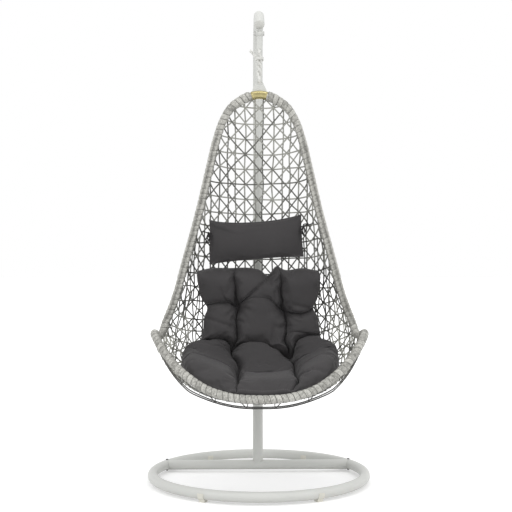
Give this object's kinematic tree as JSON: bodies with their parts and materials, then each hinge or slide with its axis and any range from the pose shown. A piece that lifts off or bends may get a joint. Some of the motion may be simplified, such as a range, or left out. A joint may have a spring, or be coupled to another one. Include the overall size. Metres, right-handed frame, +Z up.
{
  "type": "hanging egg chair",
  "caption": "Woven egg-shaped chair with padded seat and head pillow, hung by a rope from the crook of a post on a round floor ring.",
  "frame": {"origin": "centre of the base ring, on the floor", "axes": "+Z up along the post, -Y the way the chair faces, +X to the right seen from the front"},
  "size_m": [0.93, 0.9298, 1.975],
  "materials": {
    "stand_paint": "satin",
    "inner_steel": "satin",
    "dark_bolts": "satin",
    "bright_steel": "satin",
    "foot_plastic": "matte",
    "cap_plastic": "matte",
    "rope": "matte",
    "sleeve_brass": "satin",
    "frame_wicker": "satin",
    "net_wicker": "satin",
    "cushion_cloth": "matte",
    "tie_ribbon": "matte"
  },
  "bodies": {
    "stand": {"base_front_arc": "stand_paint", "base_rear_arc": "stand_paint", "arc_spigots": "inner_steel", "arc_bolts": "dark_bolts", "arc_nuts": "dark_bolts", "cross_bar": "stand_paint", "post_stub": "stand_paint", "ring_feet": "foot_plastic", "lower_post": "stand_paint", "upper_post": "stand_paint", "post_screws": "bright_steel", "post_nuts": "bright_steel", "crook_end_cap": "cap_plastic", "hanger_lug": "stand_paint", "lug_bolt": "bright_steel", "lug_nut": "bright_steel"},
    "strap": {"hanger_strap": "stand_paint"},
    "rope": {"hanging_rope": "rope", "rope_seizing": "rope"},
    "basket": {"crown_lug": "stand_paint", "crown_sleeve": "sleeve_brass", "frame_loop": "inner_steel", "frame_wrap": "frame_wicker", "wicker_basket": "net_wicker", "seat_cushion": "cushion_cloth", "head_pillow": "cushion_cloth", "pillow_ties": "tie_ribbon"}
  },
  "joints": [
    {"name": "strap_swing", "type": "hinge", "parent": "stand", "child": "strap", "pos_m": [0, -0.105, 1.85727], "axis": [1, 0, 0], "range_deg": [-20, 1]},
    {"name": "rope_swing", "type": "hinge", "parent": "strap", "child": "rope", "pos_m": [0, -0.105, 1.78927], "axis": [0, 1, 0], "range_deg": [-8, 8]},
    {"name": "basket_spin", "type": "hinge", "parent": "rope", "child": "basket", "pos_m": [0, -0.105, 1.654], "axis": [0, 0, 1], "range_deg": [-18, 18]}
  ]
}
